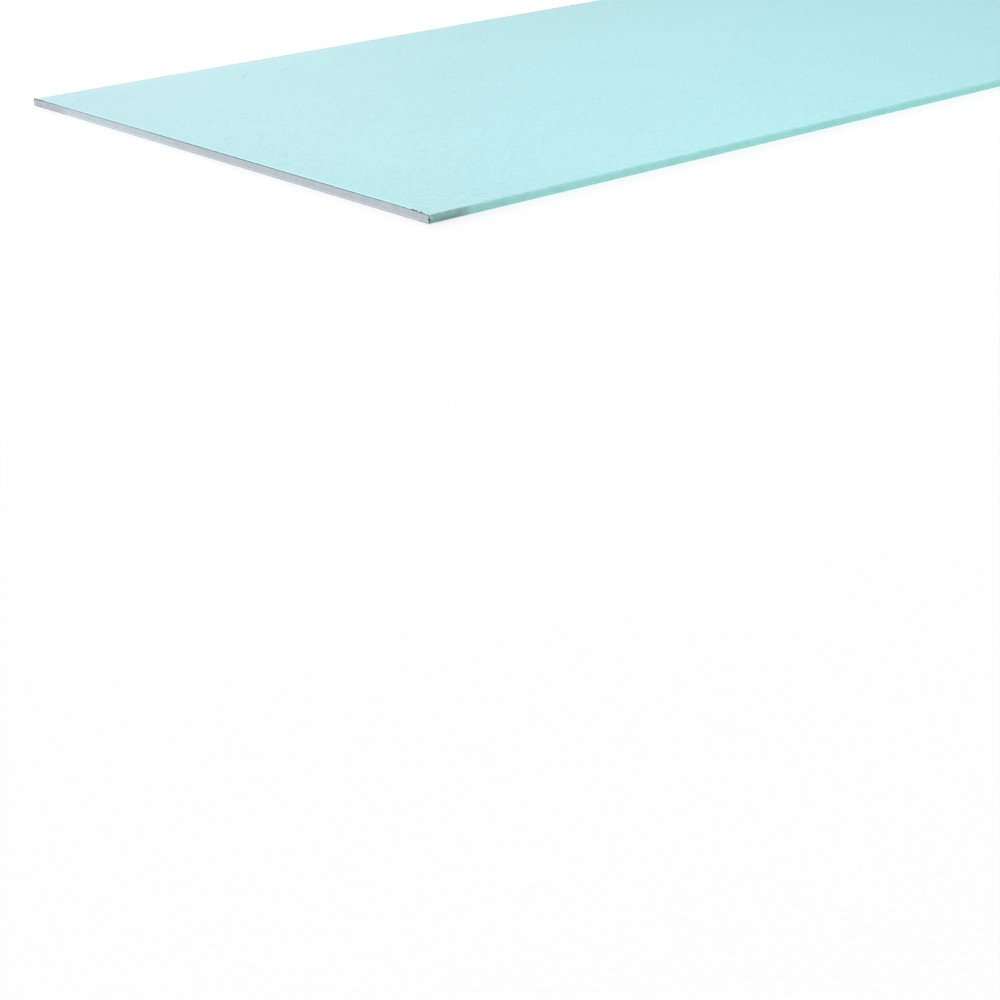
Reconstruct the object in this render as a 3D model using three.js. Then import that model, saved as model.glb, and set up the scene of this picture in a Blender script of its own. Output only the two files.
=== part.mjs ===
// Drywall sheet: one gypsum board with tapered long edges.
//
// The section is drawn across the sheet and run along it, as the board is made. A foamed gypsum core
// carries a face paper that lies over the top, folds down both long edges and turns in under the board as
// a flap. The back paper covers the underside and laps over the two flaps. The short ends are cut square,
// so core and papers end in one plane there.
//
// Millimetres. X runs along the sheet, Y across it and Z up, face side on top. The origin is the centre of
// the back paper's underside.

import * as THREE from "three";

// Board
const sheetLength = 2400;
const sheetWidth = 1200;
const sheetThickness = 12.5; // over both papers, between the tapers

// Papers
const facePaperThickness = 0.35;
const backPaperThickness = 0.35;
const flapWidth = 25; // how far the face paper turns in under the board
const backPaperMargin = 12; // bare flap between the board's long edge and the back paper's edge

// Tapered long edges, on the face side
const taperWidth = 60;
const taperDepth = 1.3; // how much thinner the board is at its long edge
const shoulderWidth = 20; // stretch over which the flat face eases into the taper

// Folds of the face paper round the long edge, outside radii
const topFoldRadius = 1.5;
const bottomFoldRadius = 0.8;
const foldSteps = 4; // facets in an eighth of a turn

const halfWidth = sheetWidth / 2;
const taperAngle = Math.atan2(taperDepth, taperWidth);

// Height of the outer taper plane at a distance from the sheet's middle.
function taperHeight(y) {
  return sheetThickness - (y - (halfWidth - taperWidth)) * Math.tan(taperAngle);
}

// One half of the face paper's course, from the middle of the face to the inner end of the flap, at a
// depth below the paper's outer side: 0 is that side, and the paper's thickness is the core's own skin.
function halfCourse(depth) {
  const taperTop = halfWidth - taperWidth;
  const taperNormal = new THREE.Vector2(Math.sin(taperAngle), Math.cos(taperAngle));

  const shoulderStart = new THREE.Vector2(taperTop - shoulderWidth / 2, sheetThickness - depth);
  const shoulderTip = new THREE.Vector2(taperTop - depth * Math.tan(taperAngle / 2), sheetThickness - depth);
  const shoulderEndY = taperTop + shoulderWidth / 2;
  const shoulderEnd = new THREE.Vector2(shoulderEndY, taperHeight(shoulderEndY));
  shoulderEnd.addScaledVector(taperNormal, -depth);

  const topFoldY = halfWidth - topFoldRadius;
  const topFoldZ = taperHeight(topFoldY) - topFoldRadius / Math.cos(taperAngle);
  const bottomFoldY = halfWidth - bottomFoldRadius;
  const bottomFoldZ = backPaperThickness + bottomFoldRadius;

  const course = new THREE.Path();
  course.moveTo(shoulderStart.x, shoulderStart.y);
  course.quadraticCurveTo(shoulderTip.x, shoulderTip.y, shoulderEnd.x, shoulderEnd.y);
  course.absarc(topFoldY, topFoldZ, topFoldRadius - depth, Math.PI / 2 - taperAngle, 0, true);
  course.absarc(bottomFoldY, bottomFoldZ, bottomFoldRadius - depth, 0, -Math.PI / 2, true);
  course.lineTo(halfWidth - flapWidth, backPaperThickness + depth);
  return course.getPoints(foldSteps);
}

// The whole course, from one flap's inner end over the face to the other's.
function course(depth) {
  const right = halfCourse(depth);
  const left = right.map((point) => new THREE.Vector2(-point.x, point.y)).reverse();
  return [...left, ...right];
}

// Face paper: the strip between its outer side and the core's skin.
function facePaperSection() {
  return new THREE.Shape([...course(0), ...course(facePaperThickness).reverse()]);
}

// Core: everything inside the face paper, down to the back paper. Beside each flap it steps down by the
// flap's thickness, so the underside stays flat.
function coreSection() {
  const flapEnd = halfWidth - flapWidth;
  return new THREE.Shape([
    ...course(facePaperThickness),
    new THREE.Vector2(flapEnd, backPaperThickness),
    new THREE.Vector2(-flapEnd, backPaperThickness),
  ]);
}

// Back paper: one flat strip, its edges lapped on the flaps.
function backPaperSection() {
  const backPaperEdge = halfWidth - backPaperMargin;
  return new THREE.Shape([
    new THREE.Vector2(-backPaperEdge, 0),
    new THREE.Vector2(backPaperEdge, 0),
    new THREE.Vector2(backPaperEdge, backPaperThickness),
    new THREE.Vector2(-backPaperEdge, backPaperThickness),
  ]);
}

// Turns a section drawn in the XY plane so that it stands across the sheet and its run goes along X.
const acrossSheet = new THREE.Matrix4().makeBasis(
  new THREE.Vector3(0, 1, 0),
  new THREE.Vector3(0, 0, 1),
  new THREE.Vector3(1, 0, 0),
);

function runAlongSheet(name, section, material) {
  const geometry = new THREE.ExtrudeGeometry(section, { depth: sheetLength, steps: 1, bevelEnabled: false });
  geometry.applyMatrix4(acrossSheet);
  const mesh = new THREE.Mesh(geometry, material);
  mesh.name = name;
  mesh.position.x = -sheetLength / 2;
  return mesh;
}

const gypsum = new THREE.MeshStandardMaterial({ color: 0xe6e8ea, roughness: 0.95, metalness: 0 });
const aquaPaper = new THREE.MeshStandardMaterial({ color: 0xbfe9ea, roughness: 0.8, metalness: 0 });
const kraftPaper = new THREE.MeshStandardMaterial({ color: 0x8a6a54, roughness: 0.9, metalness: 0 });

const drywallSheet = new THREE.Group();
drywallSheet.add(runAlongSheet("gypsum_core", coreSection(), gypsum));
drywallSheet.add(runAlongSheet("face_paper", facePaperSection(), aquaPaper));
drywallSheet.add(runAlongSheet("back_paper", backPaperSection(), kraftPaper));

export default drywallSheet;
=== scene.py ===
"""Drywall sheet: a gypsum board with its foamed core, its face and back papers and a plain stage."""

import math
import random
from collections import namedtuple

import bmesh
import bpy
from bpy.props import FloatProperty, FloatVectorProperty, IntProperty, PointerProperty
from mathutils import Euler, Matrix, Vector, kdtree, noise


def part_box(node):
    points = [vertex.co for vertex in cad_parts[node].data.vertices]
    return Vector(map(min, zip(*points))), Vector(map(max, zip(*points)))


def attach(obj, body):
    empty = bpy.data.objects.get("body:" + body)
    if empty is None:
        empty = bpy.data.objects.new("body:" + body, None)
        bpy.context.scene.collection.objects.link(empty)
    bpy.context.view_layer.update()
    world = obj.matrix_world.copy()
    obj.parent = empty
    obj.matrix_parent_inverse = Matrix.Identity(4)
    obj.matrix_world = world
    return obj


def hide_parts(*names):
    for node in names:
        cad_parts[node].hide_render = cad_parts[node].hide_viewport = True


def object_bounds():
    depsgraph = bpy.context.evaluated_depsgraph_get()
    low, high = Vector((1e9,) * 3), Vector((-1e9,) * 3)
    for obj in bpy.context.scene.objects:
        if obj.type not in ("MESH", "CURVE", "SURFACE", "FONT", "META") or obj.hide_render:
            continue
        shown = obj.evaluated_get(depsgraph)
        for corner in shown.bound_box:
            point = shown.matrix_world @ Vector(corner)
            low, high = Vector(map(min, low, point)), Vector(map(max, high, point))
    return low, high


bl_info = {
    "name": "Drywall Sheet",
    "version": (1, 0, 0),
    "blender": (4, 5, 0),
    "location": "View3D > Sidebar > Drywall",
    "description": "Builds a gypsum board with wrapped papers and saw-cut ends on a plain stage",
    "category": "Add Mesh",
}

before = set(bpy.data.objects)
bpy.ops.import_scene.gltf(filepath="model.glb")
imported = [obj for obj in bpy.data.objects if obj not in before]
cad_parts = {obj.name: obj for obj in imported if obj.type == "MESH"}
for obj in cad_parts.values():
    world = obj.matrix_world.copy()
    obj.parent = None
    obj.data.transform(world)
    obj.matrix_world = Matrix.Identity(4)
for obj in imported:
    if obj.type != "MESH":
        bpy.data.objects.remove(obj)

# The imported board, in metres: X along it, Y across it, Z up from its underside.
board_low, board_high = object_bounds()
core_low, core_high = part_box("gypsum_core")
back_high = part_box("back_paper")[1]
half_length = board_high.x
half_width = board_high.y
board_top = board_high.z
face_paper_thickness = board_top - core_high.z
back_paper_thickness = back_high.z
back_paper_half_width = back_high.y

PIECES = ("sawn_core", "wrapped_face_paper", "lapped_back_paper")
MM = 0.001

# Where a crumb of plaster is pressed into the near long edge, beside the low X end.
CRUMB_PLACE = (-half_length + 4.8 * MM, -half_width, 6.9 * MM)

# The scuffed patch of the face: its middle, and how its scuffs are turned from the board's length.
SCUFF_PLACE = (-half_length + 58 * MM, -half_width + 62 * MM, board_top)
SCUFF_TURN = math.radians(-40)

# A torn place in the face paper at a cut end: where its middle lies on the end, its width along the cut,
# how far it runs in from the cut, how far the paper beside it stands up, and how far in from the cut the
# dyed surface has come off.
Tear = namedtuple("Tear", "y z width depth lift bare")

# The torn places of the low X end and of the high X end.
TEARS = {
    -1: (
        Tear(-0.5457, 12.4 * MM, 4.0 * MM, 0.5 * MM, 0.0, 1.0 * MM),
        Tear(-0.5628, 12.0 * MM, 5.4 * MM, 1.2 * MM, 0.9 * MM, 3.0 * MM),
        Tear(-0.5702, 11.9 * MM, 5.6 * MM, 1.0 * MM, 1.6 * MM, 3.0 * MM),
        Tear(-0.5828, 11.6 * MM, 3.6 * MM, 0.2 * MM, 1.6 * MM, 2.4 * MM),
        Tear(-0.5885, 11.5 * MM, 2.8 * MM, 1.2 * MM, 0.3 * MM, 2.0 * MM),
        Tear(-0.5978, 11.1 * MM, 2.4 * MM, 0.5 * MM, 0.0, 1.0 * MM),
        Tear(-0.6000, 4.6 * MM, 6.6 * MM, 0.55 * MM, 0.0, 1.0 * MM),
        Tear(0.5970, 11.2 * MM, 7.0 * MM, 0.9 * MM, 1.2 * MM, 2.5 * MM),
        Tear(0.5740, 11.8 * MM, 34.0 * MM, 0.6 * MM, 0.8 * MM, 1.6 * MM),
    ),
    1: (
        Tear(0.5960, 11.2 * MM, 5.0 * MM, 1.8 * MM, 0.5 * MM, 2.5 * MM),
        Tear(-0.2100, 12.5 * MM, 7.0 * MM, 1.3 * MM, 0.0, 2.0 * MM),
    ),
}

# The core is hollowed under a tear that is deeper, or stands up higher, than this.
GAPING = 0.9 * MM

# A bite broken out of the core at a cut end: where its middle lies on the end, its radius and depth, and
# how much torn paper sticks in it, from 0 to 1.
# The shreds' darkening is partly painted shade.
Bite = namedtuple("Bite", "y z radius depth shreds")

# The bites in the low X end and in the high X end.
BITES = {
    -1: (
        Bite(-0.5998, 4.7 * MM, 4.2 * MM, 0.15 * MM, 0.72),
        Bite(-0.5890, 10.4 * MM, 2.0 * MM, 1.0 * MM, 0.0),
    ),
    1: (Bite(0.5985, 2.0 * MM, 2.6 * MM, 1.2 * MM, 0.0),),
}

# The view that the board is shown in: where the camera stands, how it is turned, and its focal length in
# millimetres before a sensor SENSOR_WIDTH wide. Its picture is a square with PICTURE_SIDE pixels a side.
VIEW_PLACE = (-2.4693, -2.5167, 0.5929)
VIEW_TURN = [math.radians(turn) for turn in (67.053, 3.369, -36.587)]
VIEW_LENS = 67.9
SENSOR_WIDTH = 36
PICTURE_SIDE = 1000

# Turns on the face, in degrees from the board's length, of lines that look about level in that view and
# of lines that run away from the camera, which look about upright.
LEVEL = -22
AWAY = 57

# A faint mark on the face: its length and width, its turn in degrees, how strongly it shows, and the
# column and row at which the view's picture shows its middle, in pixels from the top left. Dark marks have
# a strength above 0 and pale ones below 0.
Mark = namedtuple("Mark", "length width turn strength column row")
MARKS = (
    Mark(80 * MM, 18 * MM, AWAY, 0.30, column=397.8, row=50.6),
    Mark(45 * MM, 9 * MM, AWAY, 0.55, column=244.5, row=76.0),
    Mark(34 * MM, 7 * MM, AWAY - 25, 0.60, column=284.0, row=69.6),
    Mark(17 * MM, 6 * MM, LEVEL, 0.75, column=454.0, row=92.2),
    Mark(16 * MM, 6 * MM, LEVEL, 0.70, column=288.3, row=125.5),
    Mark(48 * MM, 12 * MM, AWAY, 0.25, column=262.4, row=136.3),
    Mark(25 * MM, 6 * MM, LEVEL + 15, 0.85, column=234.9, row=136.1),
    Mark(22 * MM, 13 * MM, AWAY, 0.35, column=226.5, row=138.4),
    Mark(18 * MM, 9 * MM, AWAY, 0.60, column=228.8, row=145.3),
    Mark(30 * MM, 6 * MM, AWAY, 0.35, column=285.8, row=154.8),
    Mark(21 * MM, 6 * MM, LEVEL + 25, 0.75, column=285.4, row=164.2),
    Mark(26 * MM, 7 * MM, LEVEL, 0.35, column=339.5, row=164.8),
    Mark(24 * MM, 9 * MM, LEVEL - 20, 0.30, column=372.5, row=90.0),
    Mark(20 * MM, 8 * MM, AWAY, 0.55, column=735.1, row=36.4),
    Mark(18 * MM, 8 * MM, AWAY - 15, 0.50, column=601.9, row=62.4),
    Mark(46 * MM, 9 * MM, AWAY - 10, 0.20, column=699.4, row=97.5),
    Mark(42 * MM, 5 * MM, LEVEL, 0.55, column=422.0, row=201.3),
    Mark(26 * MM, 4 * MM, LEVEL, 0.35, column=413.5, row=202.9),
    Mark(21 * MM, 5 * MM, LEVEL, 0.75, column=479.0, row=193.7),
    Mark(14 * MM, 4 * MM, LEVEL, 0.45, column=464.0, row=191.6),
    Mark(7 * MM, 3 * MM, AWAY, 3.00, column=427.5, row=212.6),
    # Painted shade: the next mark stands for the shade under the lifted flake at the low X end.
    Mark(8 * MM, 3 * MM, AWAY, 3.00, column=420.5, row=210.6),
    Mark(18 * MM, 6 * MM, AWAY, 0.35, column=409.0, row=197.4),
    Mark(20 * MM, 10 * MM, LEVEL + 30, 0.30, column=502.5, row=183.0),
    Mark(14 * MM, 6 * MM, LEVEL - 50, 0.45, column=421.0, row=151.2),
    Mark(15 * MM, 8 * MM, LEVEL - 20, -0.60, column=442.0, row=149.5),
    Mark(10 * MM, 7 * MM, LEVEL - 20, -0.60, column=459.0, row=152.0),
    Mark(10 * MM, 7 * MM, LEVEL - 20, -0.60, column=458.5, row=154.8),
    Mark(11 * MM, 4 * MM, AWAY, -1.00, column=356.0, row=188.0),
    Mark(15 * MM, 4 * MM, AWAY, -0.80, column=231.0, row=123.5),
)

# A mark has faded out about this far below the face.
MARK_DEPTH = 5 * MM

# Colours of the core's dense skin beside the papers, of the paper bared along the cuts, and of plaster.
# The core's skin and the bared paper are darkened partly as painted shade along the cut edges.
CORE_SKIN_AND_SHADE = (0.085, 0.095, 0.11)
BARED_PAPER_AND_SHADE = (0.045, 0.07, 0.11)
PLASTER = (0.78, 0.80, 0.84)

# Rows of the papers' meshes, as distances from a cut, closest where the saw tore the paper.
FACE_PAPER_ROWS = [row * MM for row in (0.4, 0.9, 1.5, 2.2, 3.1, 4.5, 6.5, 9, 13)]
BACK_PAPER_ROWS = [row * MM for row in (0.35, 0.8, 1.4, 2.2, 4, 8)]

# How many strips a bevel makes of a fold and of a shoulder, and how near two heights or distances have to
# be to count as one.
FOLD_STRIPS = 5
SHOULDER_STRIPS = 6
SAME_PLACE = 1e-6


# ---- Settings


def length_setting(name, description, default):
    return FloatProperty(name=name, description=description, default=default, unit="LENGTH")


def power_setting(name, description, default):
    return FloatProperty(name=name, description=description, default=default, unit="POWER")


def colour_setting(name, description, default):
    return FloatVectorProperty(
        name=name, description=description, default=default, subtype="COLOR", min=0, max=1
    )


class BoardSettings(bpy.types.PropertyGroup):
    """Section of the board where the frame's boxes don't give it"""

    taper_width: length_setting(
        "Taper width", "Width of the thinned strip beside each long edge", 60 * MM
    )
    taper_depth: length_setting("Taper depth", "How much thinner the board is at its long edge", 1.3 * MM)
    shoulder_width: length_setting(
        "Shoulder width", "Stretch over which the flat face eases into the taper", 20 * MM
    )
    top_fold_radius: length_setting(
        "Top fold radius",
        "Outside radius of the face paper's fold along the top of the long edge",
        1.5 * MM,
    )
    bottom_fold_radius: length_setting(
        "Bottom fold radius",
        "Outside radius of the face paper's fold along the bottom of the long edge",
        0.8 * MM,
    )
    flap_width: length_setting("Flap width", "How far the face paper turns in under the board", 25 * MM)
    paper_step: length_setting(
        "Paper mesh step", "Spacing of the papers' mesh lines along a cut end", 1.2 * MM
    )
    edge_step: length_setting(
        "Edge mesh step",
        "The same spacing in the tapers and on the long edges, where the paper is torn",
        0.5 * MM,
    )
    core_step: length_setting("Core mesh step", "Spacing of the core's mesh lines on a cut end", 0.9 * MM)


class CutEndSettings(bpy.types.PropertyGroup):
    """Wear of the two saw-cut ends"""

    core_recess: length_setting(
        "Core recess", "How far the sawn core stands back behind the paper's longest fibres", 0.4 * MM
    )
    saw_roughness: length_setting("Saw roughness", "Depth of the unevenness of the sawn core", 0.10 * MM)
    pit_count: IntProperty(
        name="Air holes", description="Number of open air holes in each sawn end", default=150
    )
    pit_radius: length_setting(
        "Largest air hole", "Radius of the largest air hole in a sawn end", 1.1 * MM
    )
    paper_fray: length_setting(
        "Paper fray", "Depth of the ragged line where the saw tore the papers", 0.55 * MM
    )
    burr_height: length_setting(
        "Paper burr", "How far the back paper's torn edge curls up over the core", 0.8 * MM
    )
    seed: IntProperty(name="Seed", description="Start of the random draws", default=12)


class ColourSettings(bpy.types.PropertyGroup):
    """Colours of the board's materials"""

    gypsum: colour_setting("Gypsum", "Colour of the sawn core", (0.65, 0.71, 0.77))
    aqua: colour_setting("Face paper", "Colour of the moisture-resistant face paper", (0.36, 0.635, 0.67))
    # The plies' dark colour is partly painted shade, for the dark line along the cut edges.
    ply: colour_setting(
        "Paper ply",
        "Colour of the face paper's undyed inner plies, seen where it is cut or torn",
        (0.082, 0.076, 0.07),
    )
    kraft: colour_setting("Back paper", "Colour of the brown back paper", (0.30, 0.195, 0.13))
    dust: colour_setting("Dust", "Colour of the dust rubbed into the long edges", (0.22, 0.37, 0.345))
    floor: colour_setting("Floor", "Colour of the stage floor", (0.97, 0.97, 0.97))


class StageSettings(bpy.types.PropertyGroup):
    """Camera and light"""

    camera_place: FloatVectorProperty(
        name="Camera place",
        description="Where the camera stands",
        default=VIEW_PLACE,
        subtype="TRANSLATION",
        unit="LENGTH",
        precision=4,
    )
    camera_turn: FloatVectorProperty(
        name="Camera turn",
        description="The camera's rotation",
        default=VIEW_TURN,
        subtype="EULER",
        unit="ROTATION",
    )
    lens: FloatProperty(
        name="Lens", description="Focal length for a 36 mm wide picture", default=VIEW_LENS, unit="CAMERA"
    )
    sky_strength: FloatProperty(
        name="Sky strength", description="Even light from all round", default=0.58
    )
    key_power: power_setting("Key power", "Power of the lamp above the board's near corner", 10.3)
    top_power: power_setting("Top power", "Power of the lamp above the board's middle", 6.9)
    front_power: power_setting("Front power", "Power of the soft lamp in front of the near cut end", 50)
    side_power: power_setting("Side power", "Power of the low soft lamp before the near long edge", 69)
    sheen_power: power_setting(
        "Sheen power", "Power of the low soft lamp behind the board, whose sheen lies on the paper", 274
    )
    floor_glow: FloatProperty(
        name="Floor glow",
        description="Light added to the floor where it is seen, so that it meets the white background",
        default=0.385,
    )
    far_floor_glow: FloatProperty(
        name="Far floor glow",
        description="The same far from the board, where the lamps no longer light the floor",
        default=0.44,
    )
    floor_size: length_setting("Floor size", "Side of the stage floor", 60)


# ---- Shader nodes


class Shader:
    """A material's node tree with a Principled shader, and short ways to add the nodes around it"""

    def __init__(self, name):
        self.material = bpy.data.materials.new(name)
        self.material.use_nodes = True
        self.tree = self.material.node_tree
        self.tree.nodes.clear()
        self.surface = self.node("ShaderNodeBsdfPrincipled")
        output = self.node("ShaderNodeOutputMaterial")
        self.tree.links.new(self.surface.outputs["BSDF"], output.inputs["Surface"])
        self.position = self.node("ShaderNodeTexCoord").outputs["Object"]

    def node(self, kind, **settings):
        made = self.tree.nodes.new(kind)
        for name, value in settings.items():
            setattr(made, name, value)
        return made

    def feed(self, socket, value):
        """Links an output to a socket, or sets the socket to a plain value."""
        if isinstance(value, bpy.types.NodeSocket):
            self.tree.links.new(value, socket)
        elif isinstance(socket, bpy.types.NodeSocketColor):
            socket.default_value = (*value, 1)
        else:
            socket.default_value = value

    def fill(self, node, **values):
        """Feeds a node's sockets; an underscore stands for a space in a socket's name."""
        for name, value in values.items():
            self.feed(node.inputs[name.replace("_", " ")], value)

    def set(self, **values):
        self.fill(self.surface, **values)

    def math(self, operation, *values):
        made = self.node("ShaderNodeMath", operation=operation)
        for socket, value in zip(made.inputs, values):
            self.feed(socket, value)
        return made.outputs["Value"]

    def times(self, first, *others):
        """The product of all the values."""
        product = first
        for other in others:
            product = self.math("MULTIPLY", product, other)
        return product

    def axis(self, letter):
        split = self.node("ShaderNodeSeparateXYZ")
        self.fill(split, Vector=self.position)
        return split.outputs[letter]

    def inwards(self, half_size, place):
        """Distance from the nearer of two opposite edges of the board."""
        return self.math("SUBTRACT", half_size, self.math("ABSOLUTE", place))

    def placed(self, place=(0, 0, 0), turn=(0, 0, 0), scale=(1, 1, 1)):
        """The position, moved by place, turned and then scaled."""
        mapping = self.node("ShaderNodeMapping", vector_type="TEXTURE")
        self.fill(mapping, Vector=self.position, Location=place, Rotation=turn, Scale=scale)
        return mapping.outputs["Vector"]

    def length(self, vector):
        made = self.node("ShaderNodeVectorMath", operation="LENGTH")
        self.feed(made.inputs[0], vector)
        return made.outputs["Value"]

    def noise(self, size, vector=None, detail=2.0, roughness=0.5, distortion=0.0):
        """Cloudy noise whose lumps measure about size, between 0 and 1."""
        made = self.node("ShaderNodeTexNoise")
        self.fill(made, Vector=vector or self.position, Scale=1 / size)
        self.fill(made, Detail=detail, Roughness=roughness, Distortion=distortion)
        return made.outputs["Fac"]

    def cells(self, size):
        """Distance to the nearest of scattered points that are about size apart."""
        made = self.node("ShaderNodeTexVoronoi")
        self.fill(made, Vector=self.position, Scale=1 / size)
        return made.outputs["Distance"]

    def ramp(self, value, low, high, start=0.0, end=1.0):
        """start below low, end above high, and a smooth step between."""
        made = self.node("ShaderNodeMapRange", interpolation_type="SMOOTHSTEP")
        self.fill(made, Value=value, From_Min=low, From_Max=high, To_Min=start, To_Max=end)
        return made.outputs["Result"]

    def mix(self, share, below, above, blend="MIX"):
        """below where share is 0 and above where it is 1, or the two blended in another way."""
        made = self.node("ShaderNodeMix", data_type="RGBA", blend_type=blend)
        # Sockets go by their places here, because each name stands for several kinds.
        for place, value in ((0, share), (6, below), (7, above)):
            self.feed(made.inputs[place], value)
        return made.outputs[2]

    def attribute(self, name):
        return self.node("ShaderNodeAttribute", attribute_name=name).outputs["Fac"]

    def bump(self, *layers):
        """Stacks (height, distance, strength) layers and feeds the shader's normal."""
        normal = None
        for height, distance, strength in layers:
            made = self.node("ShaderNodeBump")
            self.fill(made, Height=height, Distance=distance, Strength=strength)
            if normal:
                self.fill(made, Normal=normal)
            normal = made.outputs["Normal"]
        self.set(Normal=normal)


def scaled(colour, share):
    return tuple(channel * share for channel in colour)


def tinted(colour, *shares):
    """A colour with its red, green and blue each scaled by a share of its own."""
    return tuple(channel * share for channel, share in zip(colour, shares))


# ---- Materials


def gypsum_material(colours):
    """Foamed plaster, pale and matt, with painted shade in its air holes and in the grey skin by the
    papers.
    """
    shader = Shader("sawn gypsum")
    gypsum = tuple(colours.gypsum)
    clouds = shader.noise(14 * MM, detail=4)
    grain = shader.noise(1.6 * MM, detail=3, roughness=0.7)
    colour = shader.mix(shader.ramp(clouds, 0.35, 0.7), scaled(gypsum, 0.96), scaled(gypsum, 1.03))
    colour = shader.mix(shader.ramp(grain, 0.35, 0.55, 0.7, 0), colour, scaled(gypsum, 0.86))
    colour = shader.mix(shader.ramp(grain, 0.5, 0.7, 0, 0.6), colour, scaled(gypsum, 1.08))
    across = shader.axis("Y")
    # Painted highlight: the core is paler along its foot, less so beside the far long edge.
    painted_foot_highlight = shader.times(
        shader.ramp(shader.axis("Z"), 1.6 * MM, 3.3 * MM, 0.85, 0),
        shader.ramp(across, 0.45, 0.51, 1, 0.3),
    )
    colour = shader.mix(painted_foot_highlight, colour, scaled(gypsum, 1.25))
    # Painted bounce light makes the end lighter and bluer over its far half; beside the far long edge it
    # is darker.
    colour = shader.mix(shader.ramp(across, 0.02, 0.2), colour, (1.03, 1.08, 1.09), blend="MULTIPLY")
    colour = shader.mix(shader.ramp(across, 0.45, 0.51), colour, (0.89, 0.84, 0.84), blend="MULTIPLY")

    holes = shader.ramp(shader.cells(3.4 * MM), 0.1, 0.2, 1, 0)
    rare = shader.ramp(shader.noise(5 * MM, detail=1), 0.56, 0.66)
    speck = shader.times(holes, rare)
    # Painted shade: small air holes are darkened, and so are the sawn pits and bites.
    colour = shader.mix(shader.times(speck, 0.5), colour, scaled(gypsum, 0.6))
    colour = shader.mix(shader.attribute("pit_shade"), colour, scaled(gypsum, 0.7))
    # A dark band beside the papers: partly the core's denser skin, partly painted shade under the paper's
    # cut edge.
    skin_and_shade = shader.ramp(shader.attribute("skin_and_shade"), 0.12, 0.8)
    colour = shader.mix(skin_and_shade, colour, CORE_SKIN_AND_SHADE)
    # Shreds of paper and painted shade darken gaps and bites; the sawn end under lifted paper stays clean.
    from_cut = shader.inwards(half_length, shader.axis("X"))
    behind = shader.math(
        "MAXIMUM",
        shader.ramp(from_cut, 1.1 * MM, 1.7 * MM, 0.2, 1),
        shader.ramp(shader.axis("Z"), 8 * MM, 9.5 * MM, 1, 0),
    )
    shreds = shader.times(shader.ramp(shader.attribute("shreds_and_shade"), 0.3, 0.8), behind)
    colour = shader.mix(shreds, colour, scaled(colours.ply, 0.4))
    shader.set(Base_Color=colour, Roughness=0.95, Specular_IOR_Level=0.25)
    shader.bump((grain, 0.35 * MM, 0.55), (speck, -0.5 * MM, 0.6))
    return shader.material


def seen_on_face(column, row):
    """The place on the face that the view's picture shows at a column and row."""
    middle = PICTURE_SIDE / 2
    ray = Vector((column - middle, middle - row, -PICTURE_SIDE * VIEW_LENS / SENSOR_WIDTH))
    ray.rotate(Euler(VIEW_TURN))
    eye = Vector(VIEW_PLACE)
    return eye + ray * (board_top - eye.z) / ray.z


def mark_strength(shader, mark, grain, wobble):
    """How strongly one faint mark shows: an oval with a soft, broken edge."""
    oval = shader.placed(
        place=seen_on_face(mark.column, mark.row),
        turn=(0, 0, math.radians(mark.turn)),
        scale=(mark.length / 2, mark.width / 2, MARK_DEPTH),
    )
    away = shader.math("ADD", shader.length(oval), wobble)
    inside = shader.ramp(away, 0.45, 1.3, abs(mark.strength), 0)
    return shader.times(inside, grain)


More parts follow.
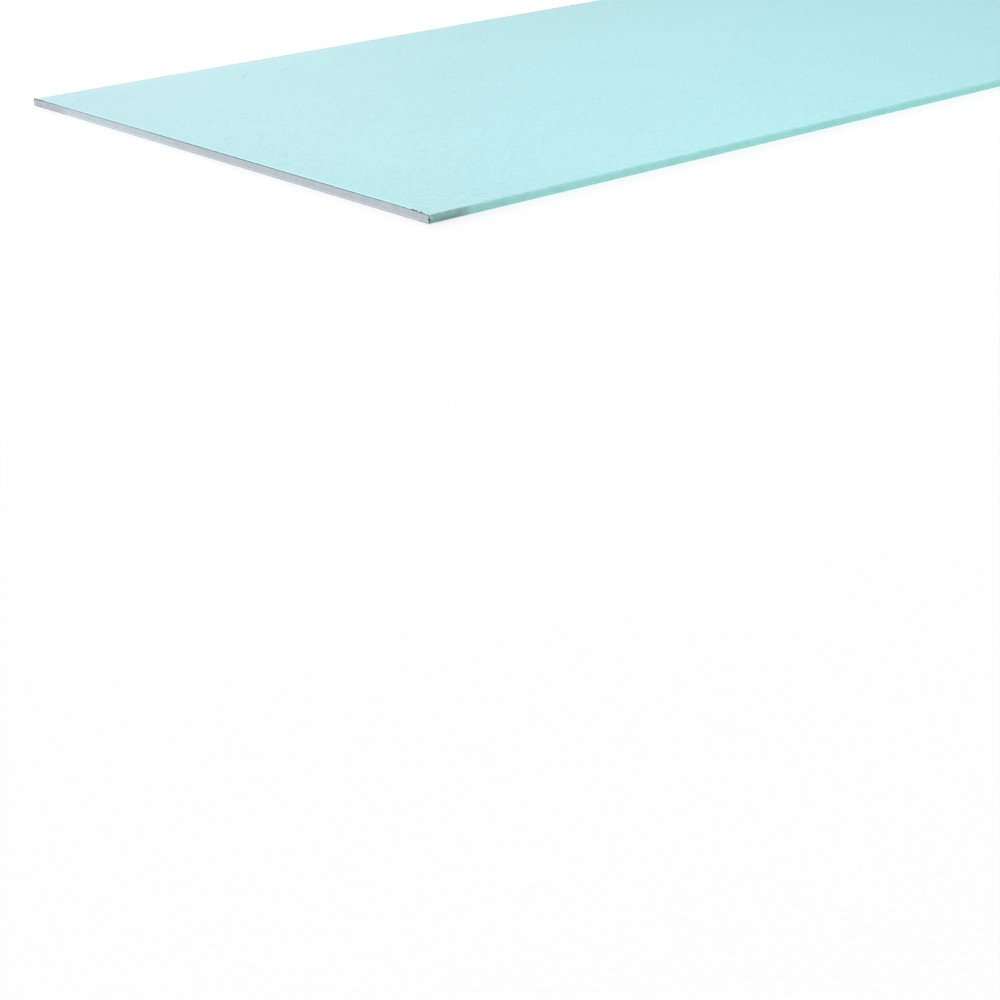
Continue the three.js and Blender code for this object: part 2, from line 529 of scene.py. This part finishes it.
def face_paper_material(colours):
    """Aqua board paper: fine fibres along the sheet, faint marks, and dust rubbed into the long edges."""
    shader = Shader("aqua face paper")
    aqua = tuple(colours.aqua)
    along = shader.axis("X")
    across = shader.axis("Y")
    from_cut = shader.inwards(half_length, along)
    from_edge = shader.inwards(half_width, across)

    clouds = shader.noise(0.22, detail=3)
    broad = shader.noise(13 * MM, detail=2, roughness=0.6)
    mottle = shader.noise(4.5 * MM, detail=2, roughness=0.6)
    flecks = shader.noise(1.8 * MM, detail=2, roughness=0.65)
    fibre_run = shader.placed(scale=(14 * MM, 1.1 * MM, 1.1 * MM))
    fibres = shader.noise(1.0, fibre_run, detail=2, roughness=0.6)
    deeper = tinted(aqua, 0.74, 0.93, 0.92)
    paler = tinted(aqua, 1.26, 1.05, 1.06)
    colour = shader.mix(shader.ramp(clouds, 0.3, 0.7), scaled(aqua, 0.985), scaled(aqua, 1.015))
    for lumps, share in ((broad, 0.35), (mottle, 0.8)):
        colour = shader.mix(shader.ramp(lumps, 0.3, 0.5, share, 0), colour, deeper)
        colour = shader.mix(shader.ramp(lumps, 0.5, 0.7, 0, share), colour, paler)
    colour = shader.mix(shader.ramp(flecks, 0.5, 0.8, 0, 0.8), colour, paler)
    colour = shader.mix(shader.ramp(fibres, 0.55, 0.75, 0, 0.6), colour, deeper)

    # Painted sheen falloff: the face is a little greener towards the near long edge and the high X end.
    painted_sheen_falloff = shader.ramp(shader.math("SUBTRACT", along, across), -0.6, 0.3)
    colour = shader.mix(painted_sheen_falloff, colour, (0.94, 1.0, 0.99), blend="MULTIPLY")
    # Along the folds, away from the corners, the face is a little greener.
    at_fold = shader.ramp(from_edge, 3 * MM, 10 * MM, 1, 0)
    beyond_corner = shader.ramp(from_cut, 50 * MM, 100 * MM)
    greener = shader.times(at_fold, beyond_corner, shader.ramp(from_cut, 240 * MM, 380 * MM, 1, 0.1))
    colour = shader.mix(greener, colour, (0.89, 0.985, 0.98), blend="MULTIPLY")

    # Painted highlight: the face is paler in a strip along the cuts, and along the folds near the corners.
    highlight_at_cut = shader.ramp(from_cut, 3 * MM, 7.5 * MM, 0.85, 0)
    highlight_at_fold = shader.times(
        shader.ramp(from_edge, 5 * MM, 13 * MM, 0.25, 0),
        shader.math("SUBTRACT", 1, beyond_corner),
    )
    painted_highlight = shader.math("MAXIMUM", highlight_at_cut, highlight_at_fold)
    colour = shader.mix(painted_highlight, colour, tinted(aqua, 1.2, 1.18, 1.17))

    # One corner was dragged over other sheets: long dark and pale scuffs side by side.
    scuffed = shader.placed(place=SCUFF_PLACE, turn=(0, 0, SCUFF_TURN), scale=(80 * MM, 42 * MM, 10 * MM))
    scuffed = shader.ramp(shader.length(scuffed), 0.5, 1.3, 1, 0)
    scuff_run = shader.placed(turn=(0, 0, SCUFF_TURN), scale=(22 * MM, 4 * MM, 4 * MM))
    scuffs = shader.noise(1.0, scuff_run, detail=2, roughness=0.5)
    dark_scuff = shader.times(scuffed, shader.ramp(scuffs, 0.54, 0.68, 0, 0.3))
    pale_scuff = shader.times(scuffed, shader.ramp(scuffs, 0.32, 0.46, 0.45, 0))
    rubbed_and_shaded_dark = tinted(aqua, 0.62, 0.78, 0.79)
    rubbed_pale = tinted(aqua, 1.5, 1.1, 1.1)
    colour = shader.mix(dark_scuff, colour, rubbed_and_shaded_dark)
    colour = shader.mix(pale_scuff, colour, rubbed_pale)

    blotches = shader.ramp(shader.noise(6 * MM, detail=3), 0.4, 0.6, 0.4, 1)
    wobble = shader.ramp(shader.noise(3.5 * MM, detail=3, roughness=0.65), 0.3, 0.7, -0.5, 0.5)
    for shade, chosen in (
        (rubbed_and_shaded_dark, [mark for mark in MARKS if mark.strength > 0]),
        (rubbed_pale, [mark for mark in MARKS if mark.strength < 0]),
    ):
        shown = None
        for mark in chosen:
            strength = mark_strength(shader, mark, blotches, wobble)
            shown = strength if shown is None else shader.math("MAXIMUM", shown, strength)
        colour = shader.mix(shown, colour, shade)

    # The long edges are greener than the face, with painted light and shade on them.
    # Painted shade makes them deepest halfway down, painted light lighter at the top, painted bounce paler
    # at the foot.
    on_side = shader.ramp(from_edge, 0.3 * MM, 1.6 * MM, 1, 0)
    height = shader.axis("Z")
    side_painted_lit = tinted(aqua, 0.97, 1.08, 1.02)
    side_painted_shade = tinted(aqua, 0.82, 0.99, 0.90)
    side_painted_bounce = tinted(aqua, 0.88, 1.09, 0.99)
    side = shader.mix(shader.ramp(height, 4.5 * MM, 8.5 * MM), side_painted_shade, side_painted_lit)
    side = shader.mix(shader.ramp(mottle, 0.35, 0.6, 0.5, 0), side, side_painted_shade)
    side = shader.mix(shader.ramp(height, 2.6 * MM, 4.2 * MM, 1, 0), side, side_painted_bounce)
    side = shader.mix(shader.ramp(broad, 0.36, 0.56, 0.45, 0), side, scaled(side_painted_shade, 0.88))
    side = shader.mix(shader.ramp(flecks, 0.5, 0.75, 0, 0.4), side, scaled(side_painted_lit, 1.08))
    colour = shader.mix(on_side, colour, side)

    # Towards the sheet's corners dust is rubbed into them; near the corners they are also darker low down.
    dust = tuple(colours.dust)
    patches = shader.ramp(shader.noise(9 * MM, detail=4, roughness=0.6), 0.36, 0.62, 0.75, 1)
    near_corner = shader.times(
        shader.ramp(from_cut, 52 * MM, 72 * MM, 1, 0.3),
        shader.ramp(from_cut, 76 * MM, 200 * MM, 1, 0),
    )
    onto_face = shader.ramp(across, -0.1, 0.1, 3.8 * MM, 1 * MM)
    beside_fold = shader.ramp(from_edge, 0.5 * MM, onto_face, 1, 0)
    dusty = shader.times(near_corner, patches, beside_fold)
    low_down = shader.times(
        shader.ramp(height, 2 * MM, 9 * MM, 1, 0),
        shader.ramp(from_cut, 30 * MM, 60 * MM, 1, 0),
    )
    darker_low_colour = tinted(dust, 0.63, 0.70, 0.66)
    colour = shader.mix(dusty, colour, shader.mix(low_down, dust, darker_low_colour))

    # The saw tore the dyed surface off in a narrow ragged strip along the cuts.
    # Its dark colour is partly painted shade along the cut edges.
    ragged = shader.noise(5 * MM, detail=3, roughness=0.7)
    strip_width = shader.times(
        shader.ramp(ragged, 0.35, 0.65, 0.8 * MM, 1.8 * MM),
        shader.ramp(across, -0.52, -0.08, 0.5, 1.3),
        shader.math("MAXIMUM", shader.ramp(across, 0.1, 0.4, 1, 0.5), shader.ramp(across, 0.47, 0.52)),
    )
    bared = shader.ramp(shader.math("DIVIDE", from_cut, strip_width), 0.7, 1.1, 0.9, 0)
    bared = shader.times(bared, shader.ramp(from_edge, 0, 1.5 * MM, 0.4, 1))
    colour = shader.mix(bared, colour, BARED_PAPER_AND_SHADE)

    # Torn places show the undyed plies, and a crumb of plaster is pressed into one long edge.
    shreds = shader.noise(1.1 * MM, detail=3, roughness=0.7)
    peeled = shader.math("ADD", shader.attribute("peeled"), shader.ramp(shreds, 0.3, 0.7, -0.3, 0.3))
    peeled = shader.ramp(peeled, 0.42, 0.58)
    # Torn plies are darker still, partly as painted shade under the torn paper.
    plies = shader.mix(shader.ramp(shreds, 0.4, 0.6), scaled(colours.ply, 0.3), scaled(colours.ply, 0.7))
    colour = shader.mix(peeled, colour, plies)
    crumb = shader.length(shader.placed(place=CRUMB_PLACE, scale=(1.3 * MM, 2 * MM, 1.0 * MM)))
    crumb = shader.math("ADD", crumb, shader.ramp(shreds, 0.3, 0.7, -0.25, 0.25))
    colour = shader.mix(shader.ramp(crumb, 0.75, 0.95, 0.9, 0), colour, PLASTER)

    shader.set(
        Base_Color=colour,
        Roughness=shader.ramp(flecks, 0.2, 0.8, 0.56, 0.68),
        Specular_IOR_Level=0.35,
    )
    shader.bump((mottle, 0.12 * MM, 0.4), (flecks, 0.10 * MM, 0.5), (fibres, 0.06 * MM, 0.5))
    return shader.material


def paper_ply_material(colours):
    """The face paper's undyed inner plies: grey and fibrous, tinted where the dyed side is cut through."""
    shader = Shader("undyed paper ply")
    ply = [(plain + 0.16 * dyed) / 2 for plain, dyed in zip(colours.ply, colours.aqua)]
    fibres = shader.noise(0.8 * MM, detail=3, roughness=0.7)
    colour = shader.mix(shader.ramp(fibres, 0.35, 0.65), scaled(ply, 0.7), scaled(ply, 1.35))
    # Painted shade: where the paper is torn and lifted, its plies are darker.
    colour = shader.mix(shader.attribute("peeled"), colour, scaled(ply, 0.35))
    shader.set(Base_Color=colour, Roughness=0.9, Specular_IOR_Level=0.3)
    shader.bump((fibres, 0.15 * MM, 0.6))
    return shader.material


def back_paper_material(colours):
    """Brown recycled paper with long pale and dark fibres."""
    shader = Shader("brown back paper")
    kraft = tuple(colours.kraft)
    clouds = shader.noise(45 * MM, detail=4)
    fibre_run = shader.placed(scale=(9 * MM, 0.8 * MM, 0.8 * MM))
    fibres = shader.noise(1.0, fibre_run, detail=3, roughness=0.65, distortion=0.4)
    flecks = shader.noise(1.4 * MM, detail=2, roughness=0.7)
    colour = shader.mix(shader.ramp(clouds, 0.3, 0.7), scaled(kraft, 0.95), scaled(kraft, 1.05))
    colour = shader.mix(shader.ramp(fibres, 0.3, 0.48, 0.6, 0), colour, scaled(kraft, 0.72))
    colour = shader.mix(shader.ramp(fibres, 0.54, 0.7, 0, 0.6), colour, scaled(kraft, 1.5))
    colour = shader.mix(shader.ramp(flecks, 0.58, 0.7, 0, 0.6), colour, scaled(kraft, 0.5))
    shader.set(Base_Color=colour, Roughness=0.88, Specular_IOR_Level=0.3)
    shader.bump((fibres, 0.12 * MM, 0.6), (flecks, 0.10 * MM, 0.5))
    return shader.material


def seen_directly(tree):
    """1 on rays from the camera and on rays mirrored or let through by a surface, 0 on all others."""
    ray = tree.nodes.new("ShaderNodeLightPath")
    seen = ray.outputs["Is Camera Ray"]
    for kind in ("Is Glossy Ray", "Is Transmission Ray"):
        either = tree.nodes.new("ShaderNodeMath")
        either.operation = "MAXIMUM"
        tree.links.new(seen, either.inputs[0])
        tree.links.new(ray.outputs[kind], either.inputs[1])
        seen = either.outputs["Value"]
    return seen


def floor_material(colours, stage):
    """White floor that keeps its shadows; where it is seen, a glow lifts it to the background's white."""
    shader = Shader("studio floor")
    away = shader.length(shader.position)
    lift = shader.ramp(away, 4, 16, stage.floor_glow, stage.far_floor_glow)
    lift = shader.times(seen_directly(shader.tree), lift)
    shader.set(
        Base_Color=tuple(colours.floor),
        Roughness=1.0,
        Specular_IOR_Level=0.0,
        Emission_Color=(1, 1, 1),
        Emission_Strength=lift,
    )
    return shader.material


# ---- Shapes


def spread(value, low, high):
    """0 at low, 1 at high, and a smooth step between."""
    share = min(max((value - low) / (high - low), 0.0), 1.0)
    return share * share * (3 - 2 * share)


def taper_drop(y, board):
    """How far the face lies below the board's full thickness at y, with an eased shoulder."""
    into = abs(y) - (half_width - board.taper_width)
    half_shoulder = board.shoulder_width / 2
    slope = board.taper_depth / board.taper_width
    if into <= -half_shoulder:
        return 0.0
    if into >= half_shoulder:
        return slope * into
    return slope * (into + half_shoulder) ** 2 / (4 * half_shoulder)


def from_end(co):
    return half_length - abs(co.x)


def move_in(vert, distance):
    """Moves a vertex away from the nearer cut end, towards the board's middle."""
    vert.co.x -= math.copysign(distance, vert.co.x)


def add_rows(bm, distances):
    """Cuts rows across the mesh at these distances from both cut ends."""
    for distance in distances:
        for side in (-1, 1):
            bmesh.ops.bisect_plane(
                bm,
                geom=bm.verts[:] + bm.edges[:] + bm.faces[:],
                plane_co=(side * (half_length - distance), 0, 0),
                plane_no=(1, 0, 0),
            )


def crosses_board(edge):
    """Whether an edge lies across the board, not along it."""
    return abs(edge.verts[0].co.x - edge.verts[1].co.x) < 0.1 * MM


def subdivide_across(bm, board):
    """Divides the edges that run across the board, finer where they lie in a taper or a long edge."""
    by_cuts = {}
    for edge in bm.edges:
        if crosses_board(edge):
            outside = min(abs(vert.co.y) for vert in edge.verts) > half_width - board.taper_width
            on_face = edge.verts[0].co.z > 2 * back_paper_thickness
            step = board.edge_step if outside and on_face else board.paper_step
            by_cuts.setdefault(int(edge.calc_length() / step), []).append(edge)
    for cuts, edges in by_cuts.items():
        if cuts:
            bmesh.ops.subdivide_edges(bm, edges=edges, cuts=cuts, use_grid_fill=True)


def side_of(vert):
    """-1 in the low X half of the board and 1 in the high X half."""
    return 1 if vert.co.x > 0 else -1


def halves_away(co, tear):
    """Distance from a tear's middle, counted in halves of the tear's width."""
    return math.hypot(co.y - tear.y, co.z - tear.z) / tear.width * 2


def new_verts(extruded):
    return [part for part in extruded["geom"] if isinstance(part, bmesh.types.BMVert)]


def finish_piece(name, bm, nodes, materials, sharp_angle=math.radians(35)):
    """Turns a bmesh into a piece that rides on the board and stands for its CAD node."""
    bmesh.ops.recalc_face_normals(bm, faces=bm.faces)
    for face in bm.faces:
        face.smooth = True
    for edge in bm.edges:
        edge.smooth = edge.is_manifold and edge.calc_face_angle() < sharp_angle
    mesh = bpy.data.meshes.new(name)
    bm.to_mesh(mesh)
    bm.free()
    piece = bpy.data.objects.new(name, mesh)
    bpy.context.scene.collection.objects.link(piece)
    for material in materials:
        mesh.materials.append(material)
    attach(piece, "root")
    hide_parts(*nodes)


# ---- Core


def core_section(bm, board):
    """A grid across the board, shaped to the core's section at the low X end."""
    width = core_high.y - core_low.y
    height = core_high.z - core_low.z
    bmesh.ops.create_grid(
        bm,
        x_segments=round(width / board.core_step),
        y_segments=round(height / board.core_step),
        size=0.5,
    )
    upright = Matrix(((0, 0, 1, 0), (1, 0, 0, 0), (0, 1, 0, 0), (0, 0, 0, 1)))
    bmesh.ops.transform(bm, matrix=upright @ Matrix.Diagonal((width, 1, 1, 1)), verts=bm.verts)
    bmesh.ops.translate(bm, verts=bm.verts, vec=(-half_length, 0, 0))
    top_radius = board.top_fold_radius - face_paper_thickness
    bottom_radius = board.bottom_fold_radius - face_paper_thickness
    for vert in bm.verts:
        across = vert.co.y
        share = vert.co.z + 0.5
        top = core_high.z - taper_drop(across, board)
        under_flap = abs(across) > half_width - board.flap_width
        bottom = core_low.z + (face_paper_thickness if under_flap else 0)
        vert.co.z = bottom + share * (top - bottom)
        # The corner columns draw in, so that the core stays inside the papers' folds.
        if abs(across) > core_high.y - 0.01 * MM:
            for radius, nearest in ((bottom_radius, vert.co.z - bottom), (top_radius, top - vert.co.z)):
                short = max(radius - nearest, 0)
                vert.co.y -= math.copysign(radius - math.sqrt(radius**2 - short**2), across)


def sawn_depth(co, ends):
    """How far the sawn surface lies in from the paper's ends, without its air holes."""
    broad = noise.noise(co * 30)
    middle = noise.noise(co * 170)
    fine = noise.noise(co * 620)
    return ends.core_recess + ends.saw_roughness * (0.8 * broad + 0.6 * middle + 0.9 * fine)


def open_pits(end_verts, pit_shade, ends, chance):
    """Sinks round air holes into one sawn end, most of them small, with painted shade in them."""
    tree = kdtree.KDTree(len(end_verts))
    for index, vert in enumerate(end_verts):
        tree.insert(vert.co, index)
    tree.balance()
    x = end_verts[0].co.x
    for _ in range(ends.pit_count):
        radius = ends.pit_radius * (0.32 + 0.68 * chance.random() ** 3)
        across = chance.uniform(core_low.y + 4 * MM, core_high.y - 4 * MM)
        height = chance.uniform(core_low.z + 1.6 * MM, core_high.z - 3.2 * MM)
        centre = Vector((x, across, height))
        for _co, index, distance in tree.find_range(centre, radius + 0.5 * MM):
            vert = end_verts[index]
            share = 1 - spread(distance, radius * 0.35, radius + 0.5 * MM)
            move_in(vert, share * radius * 0.9)
            vert[pit_shade] = max(vert[pit_shade], share * 0.75)


def crumble(end_verts, pit_shade, shreds_and_shade, bite):
    """Breaks a rounded bite out of a sawn end, darkened with painted shade and shreds of paper."""
    for vert in end_verts:
        away = math.hypot(vert.co.y - bite.y, vert.co.z - bite.z)
        share = 1 - spread(away, bite.radius * 0.2, bite.radius)
        if share > 0:
            ragged = 0.7 + 0.6 * noise.noise(vert.co * 900)
            move_in(vert, bite.depth * share * ragged)
            vert[pit_shade] = max(vert[pit_shade], 0.15 * share)
            vert[shreds_and_shade] = max(vert[shreds_and_shade], bite.shreds * share)


def open_gap(vert, skin_and_shade, shreds_and_shade, depth, tears):
    """Hollows the core under a torn place, darkened there by shreds of paper and painted shade."""
    for tear in tears:
        away = math.hypot((vert.co.y - tear.y) / tear.width * 2, depth / (0.8 * MM))
        share = 1 - spread(away, 0.55, 1.0)
        move_in(vert, share * tear.depth * 0.7)
        vert[skin_and_shade] *= 1 - share
        vert[shreds_and_shade] = max(vert[shreds_and_shade], share)


def build_core(board, ends, colours):
    """The foamed core: its section run along the board, with two sawn, pitted and bitten ends."""
    bm = bmesh.new()
    skin_and_shade = bm.verts.layers.float.new("skin_and_shade")
    pit_shade = bm.verts.layers.float.new("pit_shade")
    shreds_and_shade = bm.verts.layers.float.new("shreds_and_shade")
    core_section(bm, board)
    run = bmesh.ops.extrude_face_region(bm, geom=bm.faces[:])
    bmesh.ops.translate(bm, verts=new_verts(run), vec=(2 * half_length, 0, 0))

    chance = random.Random(ends.seed)
    for side in (-1, 1):
        end_verts = [vert for vert in bm.verts if vert.co.x * side > 0]
        gaps = [tear for tear in TEARS[side] if max(tear.depth, tear.lift) > GAPING]
        for vert in end_verts:
            top = core_high.z - taper_drop(vert.co.y, board)
            # A dark band under the face paper and over the back paper: partly denser skin, partly painted
            # shade.
            under_face = 1 - spread(top - vert.co.z, 0.1 * MM, 1.0 * MM)
            over_back = 1 - spread(vert.co.z - core_low.z, 0.1 * MM, 0.9 * MM)
            smear = 0.5 + 0.5 * noise.noise(vert.co * 260)
            vert[skin_and_shade] = max(under_face, over_back * 0.25) * (0.65 + 0.35 * smear)
            move_in(vert, sawn_depth(vert.co, ends))
            open_gap(vert, skin_and_shade, shreds_and_shade, top - vert.co.z, gaps)
        open_pits(end_verts, pit_shade, ends, chance)
        for bite in BITES[side]:
            crumble(end_verts, pit_shade, shreds_and_shade, bite)
    finish_piece("sawn_core", bm, ["gypsum_core"], [gypsum_material(colours)])


# ---- Papers


def torn_depth(co, ends, tears):
    """How far in from the cut a paper's edge ends at this place along it."""
    along_cut = Vector((co.y * 480, co.z * 480, math.copysign(7, co.x)))
    fuzz = max(noise.noise(along_cut) + 0.25, 0) + 0.5 * max(noise.noise(along_cut * 3.1), 0)
    depth = ends.paper_fray * fuzz
    for tear in tears:
        away = halves_away(co, tear)
        if away < 1:
            ragged = 0.8 + 0.5 * noise.noise(Vector((co.y * 1100, co.z * 1100, tear.y * 50)))
            depth = max(depth, tear.depth * (1 - away * away) * ragged)
    return depth


def fray(bm, ends, tears, reach=14 * MM):
    """Draws the papers' cut edges in to a ragged line; the shift fades out over reach."""
    for vert in bm.verts:
        inside = from_end(vert.co)
        if inside < reach:
            depth = torn_depth(vert.co, ends, tears[side_of(vert)])
            move_in(vert, depth * (1 - inside / reach) ** 2)


def curl_tears(bm, tears, peeled, reach=5 * MM, lifted=1.3, bared=1.4):
    """Lifts the paper round each tear, and marks where its dyed face has come off.

    lifted and bared are how far these go from a tear's middle, in halves of its width.
    """
    for vert in bm.verts:
        inside = from_end(vert.co)
        if inside > reach:
            continue
        for tear in tears[side_of(vert)]:
            away = halves_away(vert.co, tear)
            if away < bared:
                bare = 1 - spread(inside, tear.bare * 0.75, tear.bare * 1.25)
                vert[peeled] = max(vert[peeled], bare * (1 - spread(away, 0.8, bared)))
            if away < lifted and tear.lift:
                lift = tear.lift * (1 - away / lifted) * (1 - inside / reach) ** 2
                vert.co.z = min(vert.co.z + lift, board_top)


def folded_section(bm, board):
    """The face paper's outer side, from flap to flap: a run of flat strips with rounded folds."""
    edge_top = board_top - board.taper_depth
    taper_top = half_width - board.taper_width
    half_course = [
        (taper_top, board_top),
        (half_width, edge_top),
        (half_width, back_paper_thickness),
        (half_width - board.flap_width, back_paper_thickness),
    ]
    course = [(-y, z) for y, z in reversed(half_course)] + half_course
    verts = [bm.verts.new((-half_length, y, z)) for y, z in course]
    edges = [bm.edges.new(pair) for pair in zip(verts, verts[1:])]
    run = bmesh.ops.extrude_edge_only(bm, edges=edges)
    bmesh.ops.translate(bm, verts=new_verts(run), vec=(2 * half_length, 0, 0))

    def round_off(y, z, offset, strips):
        """Rounds the two lengthwise edges at this distance from the middle and this height."""
        lengthwise = [
            edge
            for edge in bm.edges
            if not crosses_board(edge)
            and abs(abs(edge.verts[0].co.y) - y) < SAME_PLACE
            and abs(edge.verts[0].co.z - z) < SAME_PLACE
        ]
        bmesh.ops.bevel(
            bm,
            geom=lengthwise,
            affect="EDGES",
            offset=offset,
            segments=strips,
            profile=0.5,
            material=-1,
        )

    round_off(half_width, edge_top, board.top_fold_radius, FOLD_STRIPS)
    round_off(half_width, back_paper_thickness, board.bottom_fold_radius, FOLD_STRIPS)
    round_off(taper_top, board_top, board.shoulder_width / 2, SHOULDER_STRIPS)


def thicken(bm, thickness):
    """Gives the sheet its thickness inwards and puts material 1 on everything but the outer side."""
    outer = set(bm.faces)
    bmesh.ops.solidify(bm, geom=bm.faces[:], thickness=thickness)
    for face in bm.faces:
        face.material_index = 0 if face in outer else 1


def build_face_paper(board, ends, colours):
    """The face paper: its folded section run along the board, with torn and curled cut edges."""
    bm = bmesh.new()
    peeled = bm.verts.layers.float.new("peeled")
    folded_section(bm, board)
    subdivide_across(bm, board)
    add_rows(bm, FACE_PAPER_ROWS)
    thicken(bm, face_paper_thickness)
    curl_tears(bm, TEARS, peeled)
    fray(bm, ends, TEARS)
    materials = [face_paper_material(colours), paper_ply_material(colours)]
    finish_piece("wrapped_face_paper", bm, ["face_paper"], materials)


def build_back_paper(board, ends, colours):
    """The flat back paper, with its sawn ends frayed and curled up over the core's lower edge."""
    bm = bmesh.new()
    bmesh.ops.create_grid(
        bm,
        x_segments=1,
        y_segments=round(2 * back_paper_half_width / board.paper_step),
        size=1,
        matrix=Matrix.Diagonal((half_length, back_paper_half_width, 1, 1)),
    )
    add_rows(bm, BACK_PAPER_ROWS)
    bmesh.ops.reverse_faces(bm, faces=bm.faces)
    bmesh.ops.solidify(bm, geom=bm.faces[:], thickness=back_paper_thickness)
    no_tears = {-1: (), 1: ()}
    fray(bm, ends, no_tears)
    for vert in bm.verts:
        inside = from_end(vert.co)
        if inside < ends.core_recess:
            pressed_up = noise.noise(Vector((vert.co.y * 210, 0, math.copysign(3, vert.co.x))))
            pressed_up += 0.35 * spread(vert.co.y, 0.46, 0.52)
            tip = 1 - inside / ends.core_recess
            vert.co.z += ends.burr_height * min(max(pressed_up * 1.8, 0), 1) * tip
        # The trimmed long edges wander a little.
        if abs(vert.co.y) > back_paper_half_width - 0.1 * MM:
            wander = noise.noise(Vector((vert.co.x * 40, vert.co.y, 0)))
            vert.co.y -= math.copysign(0.3 * MM * (1 + wander), vert.co.y)
    materials = [back_paper_material(colours)]
    finish_piece("lapped_back_paper", bm, ["back_paper"], materials)


# ---- Floor


def open_floor(size, lap=6 * MM):
    """A floor that reaches in under the board by lap, and is open below the rest of its underside."""
    bm = bmesh.new()
    opening = Matrix.Diagonal((half_length - lap, half_width - lap, 1, 1))
    bmesh.ops.create_grid(bm, x_segments=1, y_segments=1, size=1, matrix=opening)
    covered = bm.faces[:]
    rim = bmesh.ops.extrude_edge_only(bm, edges=bm.edges[:])
    for vert in new_verts(rim):
        vert.co.x = math.copysign(size / 2, vert.co.x)
        vert.co.y = math.copysign(size / 2, vert.co.y)
    bmesh.ops.delete(bm, geom=covered, context="FACES_ONLY")
    return bm


# ---- Operators


def piece_settings(context):
    scene = context.scene
    return scene.drywall_board, scene.drywall_ends, scene.drywall_colours


class DRYWALL_OT_core(bpy.types.Operator):
    """Build the foamed core with its two sawn ends"""

    bl_idname = "drywall.core"
    bl_label = "Core"

    def execute(self, context):
        build_core(*piece_settings(context))
        return {"FINISHED"}


class DRYWALL_OT_face_paper(bpy.types.Operator):
    """Build the aqua face paper, folded round both long edges"""

    bl_idname = "drywall.face_paper"
    bl_label = "Face paper"

    def execute(self, context):
        build_face_paper(*piece_settings(context))
        return {"FINISHED"}


class DRYWALL_OT_back_paper(bpy.types.Operator):
    """Build the brown back paper, lapped on the face paper's flaps"""

    bl_idname = "drywall.back_paper"
    bl_label = "Back paper"

    def execute(self, context):
        build_back_paper(*piece_settings(context))
        return {"FINISHED"}


class DRYWALL_OT_stage(bpy.types.Operator):
    """Lay the floor, hang the lamps and set up the camera"""

    bl_idname = "drywall.stage"
    bl_label = "Stage"

    def execute(self, context):
        scene = context.scene
        stage = scene.drywall_stage
        scene.view_settings.view_transform = "Standard"

        mesh = bpy.data.meshes.new("floor")
        bm = open_floor(stage.floor_size)
        bm.to_mesh(mesh)
        bm.free()
        mesh.materials.append(floor_material(scene.drywall_colours, stage))
        floor = bpy.data.objects.new("floor", mesh)
        scene.collection.objects.link(floor)

        world = bpy.data.worlds.new("even sky")
        world.use_nodes = True
        scene.world = world
        nodes, links = world.node_tree.nodes, world.node_tree.links
        sky = nodes["Background"]
        sky.inputs["Strength"].default_value = stage.sky_strength
        white = nodes.new("ShaderNodeBackground")
        mix = nodes.new("ShaderNodeMixShader")
        for background in (sky, white):
            background.inputs["Color"].default_value = (1, 1, 1, 1)
        links.new(seen_directly(world.node_tree), mix.inputs["Fac"])
        links.new(sky.outputs["Background"], mix.inputs[1])
        links.new(white.outputs["Background"], mix.inputs[2])
        links.new(mix.outputs["Shader"], nodes["World Output"].inputs["Surface"])

        board = bpy.data.collections.new("board alone")
        for name in PIECES:
            board.objects.link(scene.objects[name])
        for name, place, size, power, lit in (
            ("key lamp", (-0.94, -1.05, 1.4), 0.7, stage.key_power, board),
            ("top lamp", (0.13, 0.28, 1.48), 0.7, stage.top_power, board),
            ("front lamp", (-5.0, 1.6, 1.1), 1.8, stage.front_power, board),
            ("side lamp", (0.5, -5.0, 0.8), 1.5, stage.side_power, board),
            ("sheen lamp", (2.0, 9.0, 2.5), 5.0, stage.sheen_power, None),
        ):
            light = bpy.data.lights.new(name, "AREA")
            light.shape = "SQUARE"
            light.size = size
            light.energy = power
            lamp = bpy.data.objects.new(name, light)
            lamp.location = place
            lamp.rotation_euler = (-lamp.location).to_track_quat("-Z", "Y").to_euler()
            lamp.light_linking.receiver_collection = lit
            scene.collection.objects.link(lamp)

        view = bpy.data.cameras.new("camera")
        view.lens = stage.lens
        view.sensor_width = SENSOR_WIDTH
        view.clip_end = 200
        camera = bpy.data.objects.new("camera", view)
        camera.location = stage.camera_place
        camera.rotation_euler = Euler(stage.camera_turn)
        scene.collection.objects.link(camera)
        scene.camera = camera
        return {"FINISHED"}


OPERATORS = (DRYWALL_OT_core, DRYWALL_OT_face_paper, DRYWALL_OT_back_paper, DRYWALL_OT_stage)


class DRYWALL_PT_panel(bpy.types.Panel):
    """Lists the board's pieces and their settings"""

    bl_label = "Drywall Sheet"
    bl_idname = "DRYWALL_PT_panel"
    bl_space_type = "VIEW_3D"
    bl_region_type = "UI"
    bl_category = "Drywall"

    def draw(self, context):
        for operator in OPERATORS:
            self.layout.operator(operator.bl_idname)
        for group in SETTINGS:
            settings = getattr(context.scene, group)
            box = self.layout.box()
            for name in settings.bl_rna.properties.keys():
                if name not in ("rna_type", "name"):
                    box.prop(settings, name)


SETTINGS = {
    "drywall_board": BoardSettings,
    "drywall_ends": CutEndSettings,
    "drywall_colours": ColourSettings,
    "drywall_stage": StageSettings,
}
CLASSES = (*SETTINGS.values(), *OPERATORS, DRYWALL_PT_panel)


def register():
    for kind in CLASSES:
        bpy.utils.register_class(kind)
    for name, kind in SETTINGS.items():
        setattr(bpy.types.Scene, name, PointerProperty(type=kind))


def unregister():
    for name in SETTINGS:
        delattr(bpy.types.Scene, name)
    for kind in reversed(CLASSES):
        bpy.utils.unregister_class(kind)


def main():
    register()
    bpy.ops.drywall.core()
    bpy.ops.drywall.face_paper()
    bpy.ops.drywall.back_paper()
    bpy.ops.drywall.stage()


if __name__ == "__main__":
    main()
